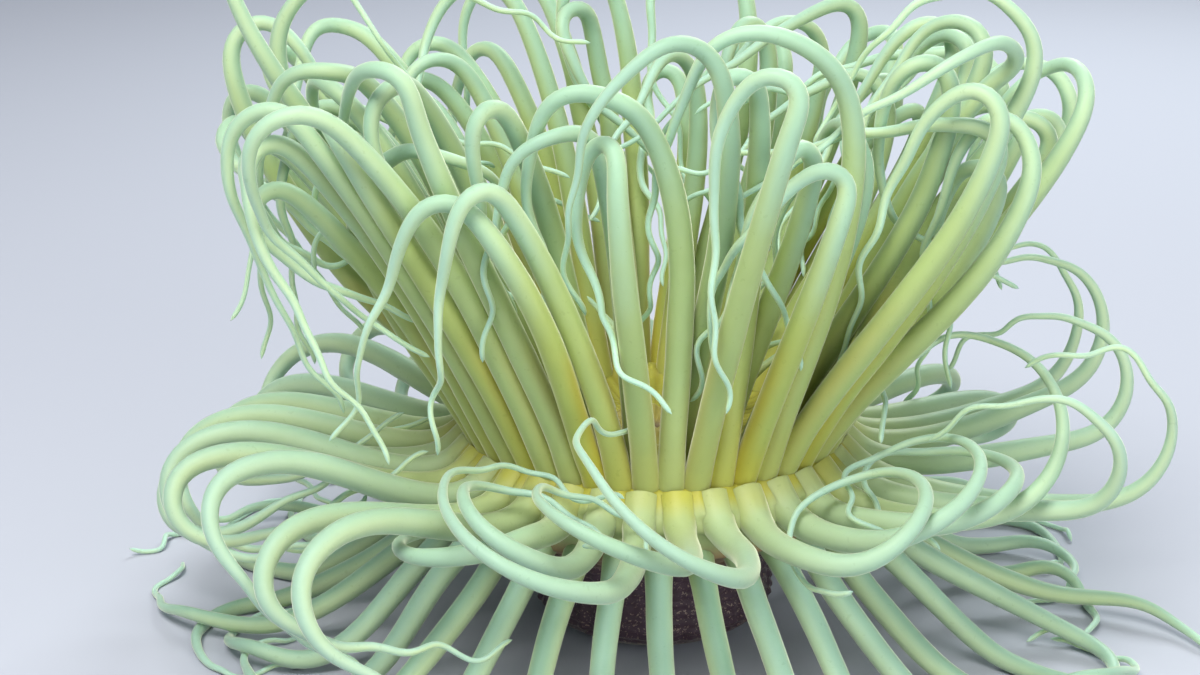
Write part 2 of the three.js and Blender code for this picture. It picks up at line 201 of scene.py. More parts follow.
def fanned_out(i, at):
    """The spreading ones on the left and behind, straight with hooked ends."""
    return {
        "reach": between(i, 8, 0.85, 1.05),
        "rise": between(i, 1, 8, 26),
        "bends": [
            bend(0.42, between(i, 2, 18, 34), (-100, -40) if abs(at) < 80 else DOWN),
            bend(0.2, between(i, 3, 120, 185), (at + between(i, 4, 20, 120), -50)),
            bend(0.38, between(i, 5, 0, 125), None, between(i, 6, -60, 60)),
        ],
    }


def labial_growth(i, at):
    aside = at + between(i, 4, -80, 80)
    bends = [bend(0.4, between(i, 2, 0, 16), (at, 0)), bend(0.6, between(i, 3, 20, 80), (aside, 0))]
    return {"rise": between(i, 1, 58, 76), "bends": bends}


def spreading_growth(i, at):
    if -30 < at < 62:
        return curled_in_front(i, at)
    return raised_in_rings(i) if 0 < at < 115 else fanned_out(i, at)


def drooping_growth(i, at):
    aside = at + (-80 if chance(i, 7) > 0.35 else 80) + between(i, 5, -25, 25)
    return {
        "reach": between(i, 6, 0.86, 1.04),
        "rise": between(i, 1, -28, -16),
        "bends": [
            bend(0.14, between(i, 2, 36, 46), DOWN),
            bend(0.32, between(i, 3, -44, -18), DOWN),
            bend(0.54, between(i, 4, 125, 250), (aside, 0)),
        ],
    }


GROWTH = {
    "labial": labial_growth,
    "inner": lambda i, at: standing(i, at, 0.72),
    "upright": lambda i, at: standing(i, at, 1),
    "spreading": spreading_growth,
    "drooping": drooping_growth,
}


def posed(rise, *bends, **more):
    return {"rise": rise, "bends": bends, **more}


# Upright tentacles with a pose of their own, by place: the arches of the front row, the wide ring,
# the long double bend, the far left loop and stems, and the arch over the left front.
POSED_UPRIGHT = {
    0: posed(84, bend(0.47, 4, LEFT), bend(0.16, 172, LEFT), bend(0.37, 10), reach=1.02, facing=-60),
    2: posed(84, bend(0.52, 3, LEFT), bend(0.09, 185, LEFT), bend(0.39, 30), reach=0.98, facing=60),
    45: posed(67, bend(0.49, 4, LEFT), bend(0.13, 165, LEFT), bend(0.38, -55), reach=0.84, facing=-60),
    46: posed(70, bend(0.5, 4, LEFT), bend(0.12, 175, (-80, 0)), bend(0.38, -45), reach=0.84, facing=-55),
    4: posed(77, bend(0.45, 6, LEFT), bend(0.27, 190, LEFT), bend(0.28, -30), reach=1.1, facing=65),
    9: posed(80, bend(0.28, 16, RIGHT), bend(0.22, 20, RIGHT), bend(0.3, 185, (-90, 30)), bend(0.2, 20)),
    34: posed(47, bend(0.5, 14, SKYWARD), bend(0.12, 185, RIGHT), bend(0.2, -70), bend(0.18, 50, DOWN),
              reach=1.16),
    35: posed(54, bend(0.48, 12, SKYWARD), bend(0.2, 100, RIGHT), bend(0.32, 60), reach=1.05),
    37: posed(67, bend(0.64, 6, LEFT), bend(0.1, 150, RIGHT), bend(0.26, 40), reach=1.1, facing=-88),
    38: posed(64, bend(0.36, 5, LEFT), bend(0.3, 160, (60, 0)), bend(0.34, 120), reach=0.85, facing=-80),
}


def radius_at(share, root, taper):
    """The taper: nearly even along the stem, then down to the thin end, sooner with a lower taper."""
    return TIP_RADIUS + (root - TIP_RADIUS) * np.maximum(0, 1 - share**taper) ** 3


def landed(direction, axis, outward, lowest):
    """A direction that would pass through the floor, levelled on to it, and its turning axis."""
    flat = unit(np.array([direction[0], direction[1], 0]) + 0.3 * outward)
    down = max(-0.98, lowest)
    direction = flat * math.sqrt(1 - down * down) + np.array([0, 0, down])
    if down > -0.3:
        axis = np.array([0, 0, math.copysign(1, axis[2]) if axis[2] else 1.0])
    return direction, axis


def trace(whorl, at, pose):
    """The points and radii of a tentacle's centre line, from the root to the tip."""
    outward = heading(at, 0)
    points = [outward * whorl["ring"] + np.array([0, 0, whorl["height"]])]
    radii = [whorl["root"]]
    direction = heading(pose.get("facing", at), pose["rise"])
    whole = pose.get("reach", 1) * whorl["length"]
    axis = np.zeros(3)
    travelled = 0
    for share, turn, toward, roll in pose["bends"]:
        length = share * whole
        steps = max(1, math.ceil(abs(turn) / SHARPEST_TURN), math.ceil(length / LONGEST_STEP))
        step = length / steps
        if toward is not None:
            axis = unit(np.cross(direction, heading(*toward)))
        for _ in range(steps):
            travelled += step
            radius = radius_at(travelled / whole, whorl["root"], pose.get("taper", 3))
            direction = turned(direction, axis, turn / steps / 2)
            lowest = (LYING * radius - points[-1][2]) / step
            if direction[2] < lowest:
                direction, axis = landed(direction, axis, outward, lowest)
            points.append(points[-1] + direction * step)
            radii.append(radius)
            direction = turned(direction, axis, turn / steps / 2)
            axis = turned(axis, direction, roll / steps)
    return np.array(points), np.array(radii)


def nearest(p, u, q, v):
    """The nearest points of two sets of segments, as shares of their lengths."""
    apart = p - q
    uu, uv, vv = (u * u).sum(1), (u * v).sum(1), (v * v).sum(1)
    ub, vb = (u * apart).sum(1), (v * apart).sum(1)
    flat = uu * vv - uv * uv
    crossing = (uv * vb - vv * ub) / np.where(flat > 1e-9, flat, 1)
    s = np.where(flat > 1e-9, np.clip(crossing, 0, 1), 0.5)
    t = np.clip((uv * s + vb) / vv, 0, 1)
    return np.clip((uv * t - ub) / uu, 0, 1), t


def out_of_body(points, radii):
    """How far points have to move to clear the disc's margin and the column below it."""
    out = np.hypot(points[:, 0], points[:, 1])
    over = points[:, 2] - MARGIN_HEIGHT
    need = MARGIN_THICKNESS + radii
    past = out - MARGIN_RING
    above, inside = over > 0, past < 0
    gap = np.where(above, np.hypot(past, over), past)
    short = np.maximum(need - gap, 0)
    safe = np.where(above, gap, 1)
    outward = np.where(above, past * short / safe, short) / out
    moves = points * outward[:, None]
    moves[:, 2] = np.where(above, over * short / safe, 0)
    lifted = above & inside
    moves[lifted] = 0
    moves[lifted, 2] = np.maximum(0, need - over)[lifted]
    return moves


def relax(lines):
    """Moves the tentacles apart, a little at a time, until no two touch or the passes run out."""
    sizes = np.array([len(points) for points, _ in lines])
    place = np.zeros((len(lines), sizes.max(), 3))
    thick = np.zeros((len(lines), sizes.max()))
    for n, (points, radii) in enumerate(lines):
        place[n, : len(points)] = points
        thick[n, : len(points)] = radii
    owner = np.repeat(np.arange(len(lines)), sizes - 1)
    step = np.concatenate([np.arange(size - 1) for size in sizes])
    lengths = np.linalg.norm(np.diff(place, axis=1), axis=2)
    first, second = np.triu_indices(len(owner), 1)
    apart = (owner[first] != owner[second]) | (step[second] - step[first] >= OWN_APART)
    first, second = first[apart], second[apart]
    for _ in range(RELAX_PASSES):
        start = place[owner, step]
        along = place[owner, step + 1] - start
        middle = start + along / 2
        reach = np.linalg.norm(along, axis=1) / 2 + thick[owner, step]
        span = middle[first] - middle[second]
        near = np.einsum("ij,ij->i", span, span) <= (reach[first] + reach[second] + CLEARANCE) ** 2
        a, b = first[near], second[near]
        s, t = nearest(start[a], along[a], start[b], along[b])
        away = start[a] + along[a] * s[:, None] - start[b] - along[b] * t[:, None]
        gap = np.linalg.norm(away, axis=1)
        widths = [
            thick[owner[end], step[end]] * (1 - x) + thick[owner[end], step[end] + 1] * x
            for end, x in ((a, s), (b, t))
        ]
        need = SECTION * sum(widths) + CLEARANCE
        at_roots = (step[a] + step[b] == 0) & (s + t < 0.1)
        touches = (gap <= need - SLIGHT) & (gap >= 1e-6) & ~at_roots
        if not touches.any():
            break
        a, b, s, t, away, gap, need = (x[touches] for x in (a, b, s, t, away, gap, need))
        weights = np.stack([np.where(step[a] > 0, 1 - s, 0), s, np.where(step[b] > 0, 1 - t, 0), t])
        push = away * (MENDED * (need - gap) / (weights**2).sum(0) / gap)[:, None]
        moves = np.zeros_like(place)
        for weight, (end, after, way) in zip(weights, ((a, 0, 1), (a, 1, 1), (b, 0, -1), (b, 1, -1))):
            np.add.at(moves, (owner[end], step[end] + after), way * push * weight[:, None])
        for k in range(1, sizes.max()):
            has = sizes > k
            move = moves[has, k]
            if k > 1:
                move += out_of_body(place[has, k], thick[has, k])
            long = np.linalg.norm(move, axis=1, keepdims=True)
            move *= np.minimum(1, LONGEST_MOVE / np.maximum(long, 1e-12))
            stride = place[has, k] + move - place[has, k - 1]
            stride *= (lengths[has, k - 1] / np.linalg.norm(stride, axis=1))[:, None]
            place[has, k] = place[has, k - 1] + stride
            place[has, k, 2] = np.maximum(place[has, k, 2], LYING * thick[has, k])
    return [place[n, :size] for n, size in enumerate(sizes)]


def grow():
    """The relaxed centre lines of every whorl, as {whorl: [(points, taper), ...]}."""
    lines, owners = [], []
    for name, whorl in WHORLS.items():
        for index in range(whorl["count"]):
            at = whorl["start"] + (index + 0.5) * 360 / whorl["count"]
            own = POSED_UPRIGHT.get(index) if name == "upright" else None
            pose = own or GROWTH[name](SEEDS[name] + index, at - 360 if at > 180 else at)
            lines.append(trace(whorl, at, pose))
            owners.append((name, pose.get("taper", 3)))
    grown = {name: [] for name in WHORLS}
    for (name, taper), points in zip(owners, relax(lines)):
        grown[name].append((points, taper))
    return grown


# ---- Smooth centre lines ---------------------------------------------------------------------------


def smoothstep(low, high, x):
    t = np.clip((x - low) / (high - low), 0, 1)
    return t * t * (3 - 2 * t)


def rounded(points):
    """A smooth curve through a centre line's points."""
    steps = np.diff(points, axis=0)
    chords = np.linalg.norm(steps, axis=1)
    ways = steps / chords[:, None]
    tangents = unit(np.concatenate([ways[:1], ways[:-1] + ways[1:], ways[-1:]]))
    curve = []
    for k, chord in enumerate(chords):
        turn = math.acos(np.clip(tangents[k] @ tangents[k + 1], -1, 1))
        pull = chord / math.cos(turn / 4) ** 2
        t = np.linspace(0, 1, max(2, math.ceil(chord / ROUGH)), endpoint=False)[:, None]
        curve.append(
            (2 * t**3 - 3 * t**2 + 1) * points[k]
            + (t**3 - 2 * t**2 + t) * pull * tangents[k]
            + (3 * t**2 - 2 * t**3) * points[k + 1]
            + (t**3 - t**2) * pull * tangents[k + 1]
        )
    return np.concatenate([*curve, points[-1:]])


def evenly(points, step):
    """Points a step apart along a line."""
    run = np.concatenate([[0], np.cumsum(np.linalg.norm(np.diff(points, axis=0), axis=1))])
    even = np.linspace(0, run[-1], round(run[-1] / step) + 1)
    return np.stack([np.interp(even, run, axis) for axis in points.T], axis=1)


def softened(even, step, reach):
    """Evenly spaced points smoothed over a reach, with both their ends kept."""
    span = min(math.ceil(3 * reach / step), len(even) - 1)
    weights = np.exp(-0.5 * (np.arange(-span, span + 1) * step / reach) ** 2)
    before = 2 * even[:1] - even[span:0:-1]
    after = 2 * even[-1:] - even[-2 : -span - 2 : -1]
    padded = np.concatenate([before, even, after])
    return np.stack([np.convolve(axis, weights / weights.sum(), "valid") for axis in padded.T], axis=1)


def waved(curve, run, seed, height, curl):
    """The curve with its thin end in slack waves, that tighten into a curl at the tip."""
    shares = run / run[-1]
    turn = between(seed, 20, 0, 2 * math.pi)
    across = np.array([math.cos(turn), math.sin(turn), between(seed, 21, -0.4, 0.4)])
    up = np.cross(across, heading(between(seed, 22, 0, 360), 20))
    slack = height * smoothstep(0.55, 0.9, shares)
    wide = slack * np.sin(2 * math.pi * (run / between(seed, 23, 24, 38) + chance(seed, 24)))
    high = 0.6 * slack * np.sin(2 * math.pi * (run / between(seed, 25, 15, 24) + chance(seed, 26)))
    ringlet = curl * between(seed, 27, 0.2, 1) * smoothstep(0.7, 0.95, shares)
    turns = 2 * math.pi * (run / between(seed, 28, 12, 19))
    wide += ringlet * np.sin(turns)
    high += ringlet * np.cos(turns)
    sway = across * wide[:, None] + unit(up) * high[:, None]
    ways = unit(np.gradient(curve, axis=0))
    return curve + sway - ways * (sway * ways).sum(axis=1, keepdims=True)


def flowing(name, points, taper, seed, settings):
    """A tentacle's centre line as a soft curve from below the skin, and its radii."""
    root = WHORLS[name]["root"]
    outward = np.array([*unit(points[0, :2]), 0])
    inward, raised = ROOTED[name]
    start = points[:1] - outward * inward + np.array([0, 0, raised])
    curve = evenly(rounded(np.concatenate([start, points])), FINE)
    run = np.arange(len(curve)) * FINE
    thick = settings.fullness * radius_at(run / run[-1], root, taper)
    curve[:, 2] = np.maximum(curve[:, 2], thick)
    curve = softened(curve, FINE, SOFTENED)
    if name != "labial":
        curve = waved(curve, run, seed, settings.waves / MM, settings.curl / MM * CURLS[name])
    return curve, thick


def close_pairs(spots, thick, owner):
    """Pairs of points that may come to touch, of two tentacles or of far places along one."""
    squares = (spots**2).sum(axis=1)
    pairs = []
    batch = 512
    for start in range(0, len(spots), batch):
        rows = slice(start, start + batch)
        apart = squares[rows, None] + squares - 2 * spots[rows] @ spots.T
        first, second = np.nonzero(apart < (thick[rows, None] + thick + WANDER) ** 2)
        first += start
        far = (second - first) * SAMPLED * FINE > COILED * (thick[first] + thick[second])
        keep = (first < second) & (far | (owner[first] != owner[second]))
        pairs.append(np.stack([first[keep], second[keep]]))
    return np.concatenate(pairs, axis=1)


def spread_along(moves):
    """Moves of single points of a curve, shared with the points near them."""
    kernel = np.exp(-((np.arange(-3 * SHARED, 3 * SHARED + 1) / SHARED) ** 2) / 2)
    moved = (np.abs(moves).sum(axis=1) > 0).astype(float)
    if not moved.any():
        return moves
    padded = np.pad(moves, ((len(kernel), len(kernel)), (0, 0)))
    weight = np.convolve(np.pad(moved, len(kernel)), kernel, mode="same")
    shared = np.stack([np.convolve(axis, kernel, mode="same") for axis in padded.T], axis=1)
    return (shared / np.maximum(weight, 1)[:, None])[len(kernel) : -len(kernel)]


def kept_apart(curves, radii):
    """The curves, moved apart where their skins would touch, the thinner one the further."""
    spots, thick = np.concatenate(curves), np.concatenate(radii)
    run = np.concatenate([np.arange(len(curve)) * FINE for curve in curves])
    owner = np.repeat(np.arange(len(curves)), [len(curve) for curve in curves])
    ends = np.cumsum([len(curve) for curve in curves])[:-1]
    chosen = np.arange(0, len(spots), SAMPLED)
    first, second = chosen[close_pairs(spots[chosen], thick[chosen], owner[chosen])]
    free = np.maximum(run[first], run[second]) > ROOTS
    first, second = first[free], second[free]
    loose = smoothstep(0.5 * ROOTS, ROOTS, run)[:, None]
    share = thick[second] ** 2 / (thick[first] ** 2 + thick[second] ** 2)
    for _ in range(PARTING_PASSES):
        away = spots[first] - spots[second]
        gap = np.linalg.norm(away, axis=1)
        short = thick[first] + thick[second] + SKIN_GAP - gap
        worst = np.flatnonzero(short > 0)
        if not len(worst):
            break
        worst = worst[np.argsort(short[worst])]
        push = away[worst] * (short[worst] / gap[worst])[:, None]
        ahead, behind = np.zeros_like(spots), np.zeros_like(spots)
        ahead[first[worst]] = push * share[worst, None]
        behind[second[worst]] = push * (1 - share[worst, None])
        moves = np.split((ahead - behind) * loose, ends)
        spots += np.concatenate([spread_along(each) for each in moves])
        spots[:, 2] = np.maximum(spots[:, 2], thick)
    return [softened(curve, FINE, SETTLED) for curve in np.split(spots, ends)]


def stepped(name, curve, thick, settings):
    """The curve at steps that suit its thickness, its radii with flare and tip, and its shares."""
    root = WHORLS[name]["root"]
    run = np.arange(len(curve)) * FINE
    spacings = settings.tip_spacing / MM, settings.spacing / MM
    closer = np.cumsum(1 / np.interp(thick, (THIN, THICK), spacings))
    chosen = np.linspace(closer[0], closer[-1], math.ceil((closer[-1] - closer[0]) * FINE) + 1)
    picked = np.interp(chosen, closer, run)
    curve = np.stack([np.interp(picked, run, axis) for axis in curve.T], axis=1)
    thick = np.interp(picked, run, thick)
    thick *= 1 + settings.flare * FLARES[name] * np.exp(-((picked / root / FLARED) ** 2))
    thick *= np.sqrt(np.maximum(1 - smoothstep(run[-1] - TIP_ROUND, run[-1], picked), TIP_LEAST))
    curve[:, 2] = np.maximum(curve[:, 2], thick)
    return curve, thick, picked / run[-1]


# ---- Settings --------------------------------------------------------------------------------------


def srgb(code):
    """A colour written as #rrggbb, in linear light."""
    values = [int(code[k : k + 2], 16) / 255 for k in (1, 3, 5)]
    return tuple(v / 12.92 if v <= 0.04045 else ((v + 0.055) / 1.055) ** 2.4 for v in values)


def colour_setting(name, description, code):
    return bpy.props.FloatVectorProperty(
        name=name, description=description, subtype="COLOR", size=3, min=0, max=1, default=srgb(code)
    )


def length_setting(name, description, millimetres, least=0.0):
    return bpy.props.FloatProperty(
        name=name, description=description, unit="LENGTH", default=millimetres * MM, min=least * MM
    )


def share_setting(name, description, default, most=2.0):
    return bpy.props.FloatProperty(
        name=name, description=description, subtype="FACTOR", default=default, min=0, max=most
    )


class TentacleSettings(bpy.types.PropertyGroup):
    """Sizes of the tentacles' skins."""

    sides: bpy.props.IntProperty(
        name="Sides", description="Faces round a tentacle", default=14, min=6, max=24
    )
    spacing: length_setting("Spacing", "Step along a thick stem", 2.1, 0.5)
    tip_spacing: length_setting("Tip spacing", "Step along a thin end", 0.95, 0.3)
    fullness: share_setting("Fullness", "Radius of the skin, as a share of the tentacle's", SECTION)
    flare: share_setting("Flare", "How much the roots widen where they join the margin", 1)
    swell: share_setting("Swell", "Slow thick and thin along a tentacle", 0.06, 0.3)
    waves: length_setting("Waves", "Height of the slack waves in the thin ends", 1.4)
    curl: length_setting("Curl", "Radius of the ringlets at the tips", 2)


class BodySettings(bpy.types.PropertyGroup):
    """Relief of the column and the disc."""

    wrinkle: length_setting("Wrinkle", "Depth of the contracted column's folds", 0.35)
    groove: length_setting("Groove", "Depth of the disc's radial grooves", 0.16)


class FinishSettings(bpy.types.PropertyGroup):
    """Colours of the skins."""

    root: colour_setting("Root", "Flesh where the tentacles join the margin", "#b3af46")
    stem: colour_setting("Stem", "Standing stems", "#a4b160")
    arch: colour_setting("Arch", "Crooks of the standing tentacles", "#9cbfa4")
    end: colour_setting("End", "Thin ends of the tentacles", "#b2d6c6")
    spread: colour_setting("Spread", "Tentacles spread round the disc", "#9abb9f")
    # Partly painted shade: the hanging tentacles' own green, made darker than the spreading ones' for the
    # shade beneath the crown.
    droop: colour_setting("Droop", "Tentacles hanging to the floor", "#7a9d86")
    # Painted glow: a warm yellow painted on the standing stems' sides low down, standing in for light
    # shining through them.
    painted_glow: colour_setting("Glow", "Flanks of the standing stems, low down", "#b5a530")
    # Painted rim light: a pale colour painted along the tentacles' sides, standing in for the light at their
    # translucent edges.
    painted_rim: colour_setting("Rim", "Flanks of the tentacles elsewhere", "#c9d8a6")
    disc: colour_setting("Disc", "Oral disc", "#a7a546")
    blush: colour_setting("Blush", "Underside of the margin and the lips", "#a68a68")
    column: colour_setting("Column", "Column", "#5a4554")


class StageSettings(bpy.types.PropertyGroup):
    """Camera, light and floor."""

    aim: bpy.props.FloatVectorProperty(
        name="Aim", description="Point at the middle of the view", subtype="XYZ", unit="LENGTH",
        default=(-12.1 * MM, 0, 65.7 * MM),
    )
    distance: length_setting("Distance", "From the camera to that point", 500)
    pitch: bpy.props.FloatProperty(
        name="Pitch", description="How far the camera looks down", default=math.radians(18),
        subtype="ANGLE",
    )
    width: length_setting("Width", "Width of the view at that point", 264)
    floor: colour_setting("Floor", "Plain floor", "#b2b5c2")


SETTINGS = {
    "anemone_tentacles": TentacleSettings,
    "anemone_body": BodySettings,
    "anemone_finish": FinishSettings,
    "anemone_stage": StageSettings,
}

# ---- Node helpers ----------------------------------------------------------------------------------


def add(tree, kind, label="", **values):
    """A new node with some of its own values set."""
    node = tree.nodes.new(kind)
    node.label = label
    for key, value in values.items():
        setattr(node, key, value)
    return node


def plug(tree, slot, source):
    """Links an input to a socket, or sets it to a value."""
    if isinstance(source, bpy.types.NodeSocket):
        tree.links.new(source, slot)
    else:
        slot.default_value = source


def feed(tree, node, **sources):
    """Sets or links a node's inputs, by name with _ for spaces."""
    for key, source in sources.items():
        plug(tree, node.inputs[key.replace("_", " ")], source)
    return node


def sums(tree, operation, *terms):
    """A maths node's result; each term is a socket or a number."""
    node = tree.nodes.new("ShaderNodeMath")
    node.operation = operation
    for slot, term in zip(node.inputs, terms):
        plug(tree, slot, term)
    return node.outputs[0]


def attribute(tree, name):
    """A float that the mesh carries, in a material."""
    return add(tree, "ShaderNodeAttribute", name, attribute_name=name).outputs["Fac"]


def ramp(tree, value, stops):
    """A colour from a value, eased between stops of place and colour."""
    node = tree.nodes.new("ShaderNodeValToRGB")
    node.color_ramp.interpolation = "EASE"
    while len(node.color_ramp.elements) < len(stops):
        node.color_ramp.elements.new(0.5)
    for element, (place, colour) in zip(node.color_ramp.elements, stops):
        element.position = place
        element.color = (*colour, 1)
    tree.links.new(value, node.inputs["Fac"])
    return node.outputs["Color"]


def mixed(tree, share, under, over, blend="MIX"):
    """Two colours mixed; the second is a socket or a value."""
    node = tree.nodes.new("ShaderNodeMix")
    node.data_type = "RGBA"
    node.blend_type = blend
    over = over if isinstance(over, bpy.types.NodeSocket) else (*over, 1)
    for slot, source in zip((node.inputs[0], node.inputs[6], node.inputs[7]), (share, under, over)):
        plug(tree, slot, source)
    return node.outputs[2]


def noise(tree, where, scale, detail=3.0, roughness=0.5):
    """Soft noise; the scale is in patches a metre."""
    node = add(tree, "ShaderNodeTexNoise")
    return feed(tree, node, Vector=where, Scale=scale, Detail=detail, Roughness=roughness).outputs["Fac"]


def toned(tree, colour, mask, strength, tone, blend="MULTIPLY"):
    """The colour, with another blended into it where the mask is high."""
    return mixed(tree, sums(tree, "MULTIPLY", mask, strength), colour, tone, blend)


def dress(tree, shader, colour, strength, distance, height):
    """Gives the shader its colour and its fine relief."""
    bump = add(tree, "ShaderNodeBump")
    feed(tree, bump, Strength=strength, Distance=distance, Height=height)
    tree.links.new(bump.outputs["Normal"], shader.inputs["Normal"])
    tree.links.new(colour, shader.inputs["Base Color"])


def tint(colour, factor):
    return tuple(min(1, c * factor) for c in colour)


# ---- Finishes --------------------------------------------------------------------------------------


def flesh(name, roughness, sheen, scatter):
    """A new material with a soft, light-scattering shader, and its object coordinates."""
    material = bpy.data.materials.new(name)
    material.use_nodes = True
    tree = material.node_tree
    shader = tree.nodes["Principled BSDF"]
    shader.subsurface_method = "BURLEY"
    feed(tree, shader, Roughness=roughness, Specular_IOR_Level=0.3)
    feed(tree, shader, Subsurface_Weight=0.65, Subsurface_Radius=(1.0, 1.0, 0.6), Subsurface_Scale=scatter)
    feed(tree, shader, Sheen_Weight=sheen, Sheen_Roughness=0.35, Sheen_Tint=(1.0, 0.98, 0.8, 1))
    return material, tree, shader, tree.nodes.new("ShaderNodeTexCoord").outputs["Object"]


def tentacle_finish(name, stops, edges, pale):
    """Translucent flesh: its core and its flanks change colour along the tentacle, some paler; the flanks
    are painted rim light.
    """
    material, tree, shader, where = flesh(name + "_flesh", 0.5, 0.8, 2 * MM)
    along, rim_light_mask = attribute(tree, "along"), attribute(tree, "rim_light_mask")
    shift = sums(tree, "MULTIPLY_ADD", sums(tree, "SUBTRACT", noise(tree, where, 45.0), 0.5), 0.16, along)
    # Painted rim light: the flanks are mixed towards the lighter edge colours.
    rim_light_mask = sums(tree, "MULTIPLY", sums(tree, "POWER", rim_light_mask, 2.5), 0.85)
    colour = mixed(tree, rim_light_mask, ramp(tree, shift, stops), ramp(tree, shift, edges))
    colour = toned(tree, colour, attribute(tree, "tone"), 0.4, pale, "MIX")
    colour = toned(tree, colour, noise(tree, where, 260.0, 4.0), 0.5, (0.86, 0.9, 0.8))
    fleck = sums(tree, "GREATER_THAN", noise(tree, where, 620.0, 2.0, 0.6), 0.68)
    colour = toned(tree, colour, fleck, 0.16, (0.5, 0.56, 0.4))
    dress(tree, shader, colour, 0.12, 0.3 * MM, noise(tree, where, 900.0, 2.0))
    return material


def body_finish():
    """The body's skin: the colours that its mesh carries, mottled and finely speckled."""
    material, tree, shader, where = flesh("body_flesh", 0.5, 0.2, 1.2 * MM)
    colour = add(tree, "ShaderNodeAttribute", "tint", attribute_name="tint").outputs["Color"]
    mottle = noise(tree, where, 90.0, 5.0, 0.62)
    colour = toned(tree, colour, mottle, 0.75, (0.68, 0.66, 0.58))
    fine = sums(tree, "GREATER_THAN", noise(tree, where, 1500.0, 2.0, 0.7), 0.62)
    flecks = sums(tree, "MULTIPLY", fine, attribute(tree, "speckle"))
    colour = toned(tree, colour, flecks, 0.45, srgb("#c3aa97"), "MIX")
    colour = toned(tree, colour, attribute(tree, "stripe"), 0.55, (0.62, 0.54, 0.36))
    grain = sums(tree, "ADD", noise(tree, where, 700.0, 4.0), sums(tree, "MULTIPLY", mottle, 1.5))
    dress(tree, shader, colour, 0.3, 0.35 * MM, grain)
    return material


# ---- Meshes ----------------------------------------------------------------------------------------


def placed(name, data):
    """A new object in the scene."""
    thing = bpy.data.objects.new(name, data)
    bpy.context.scene.collection.objects.link(thing)
    return thing


def put(name, mesh, nodes):
    """The mesh as a piece of the anemone that stands for those solids."""
    piece = placed(name, mesh)
    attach(piece, "root")
    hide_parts(*nodes)
    return piece


def read(items, key, kind, each=1):
    """One value, or each so many, of every item of a mesh."""
    values = np.zeros(each * len(items), kind)
    items.foreach_get(key, values)
    return values


def point_values(mesh, name):
    """A point attribute's values."""
    return read(mesh.attributes[name].data, "value", np.float32)


def set_point_values(mesh, name, values):
    layer = mesh.attributes.get(name) or mesh.attributes.new(name, "FLOAT", "POINT")
    layer.data.foreach_set("value", np.ascontiguousarray(values, np.float32))


def unwrap(mesh, around, along, strip=0, strips=1):
    """OFBake: a strip of the map for each tentacle, round it one way and along it the other.

    The face that closes the round ends at 1, not at 0.
    """
    corners = read(mesh.loops, "vertex_index", np.int64)
    starts = read(mesh.polygons, "loop_start", np.int64)
    totals = read(mesh.polygons, "loop_total", np.int64)
    u = around[corners]
    most = np.repeat(np.maximum.reduceat(u, starts), totals)
    least = np.repeat(np.minimum.reduceat(u, starts), totals)
    u = np.where((most - least > 0.5) & (u < 0.5), u + 1, u)
    strip = strip[corners] if isinstance(strip, np.ndarray) else strip
    uv = np.stack([(strip + 0.05 + 0.9 * u) / strips, 0.01 + 0.98 * along[corners]], axis=1)
    layer = mesh.uv_layers.new(name="OFBake")
    layer.data.foreach_set("uv", uv.astype(np.float32).ravel())


def sweep_tree():
    """Geometry nodes that sweep a round, gently swelling section along lines."""
    tree = bpy.data.node_groups.new("tentacle_sweep", "GeometryNodeTree")
    sockets = {}
    kinds = {"Lines": "Geometry", "Sides": "Int", "Swell": "Float", "Seed": "Float", "Finish": "Material"}
    for name, kind in kinds.items():
        sockets[name] = tree.interface.new_socket(name, in_out="INPUT", socket_type="NodeSocket" + kind)
    tree.interface.new_socket("Tentacles", in_out="OUTPUT", socket_type="NodeSocketGeometry")
    given = tree.nodes.new("NodeGroupInput").outputs

    lines = feed(tree, add(tree, "GeometryNodeMeshToCurve"), Mesh=given["Lines"])
    thick = feed(tree, add(tree, "GeometryNodeInputNamedAttribute", data_type="FLOAT"), Name="thickness")
    radius = thick.outputs["Attribute"]
    wobble = add(tree, "ShaderNodeTexNoise", noise_dimensions="4D")
    feed(tree, wobble, Vector=tree.nodes.new("GeometryNodeInputPosition").outputs[0], W=given["Seed"])
    feed(tree, wobble, Scale=70.0, Detail=1.0)
    factor = sums(tree, "MULTIPLY", sums(tree, "SUBTRACT", wobble.outputs["Fac"], 0.5), given["Swell"])
    radius = sums(tree, "MULTIPLY", radius, sums(tree, "MULTIPLY_ADD", factor, 2.0, 1.0))

    circle = feed(tree, add(tree, "GeometryNodeCurvePrimitiveCircle"), Resolution=given["Sides"], Radius=1.0)
    turn = tree.nodes.new("GeometryNodeSplineParameter").outputs["Factor"]
    marked = add(tree, "GeometryNodeStoreNamedAttribute", data_type="FLOAT", domain="POINT")
    feed(tree, marked, Geometry=circle.outputs[0], Name="around", Value=turn)

    swept = feed(tree, add(tree, "GeometryNodeCurveToMesh"), Curve=lines.outputs[0], Scale=radius)
    feed(tree, swept, Profile_Curve=marked.outputs[0], Fill_Caps=True)
    soft = feed(tree, add(tree, "GeometryNodeSetShadeSmooth"), Geometry=swept.outputs[0])
    real = feed(tree, add(tree, "GeometryNodeRealizeInstances"), Geometry=soft.outputs[0])
    done = add(tree, "GeometryNodeSetMaterial")
    feed(tree, done, Geometry=real.outputs[0], Material=given["Finish"])
    tree.links.new(done.outputs[0], tree.nodes.new("NodeGroupOutput").inputs[0])
    return tree, {name: socket.identifier for name, socket in sockets.items()}


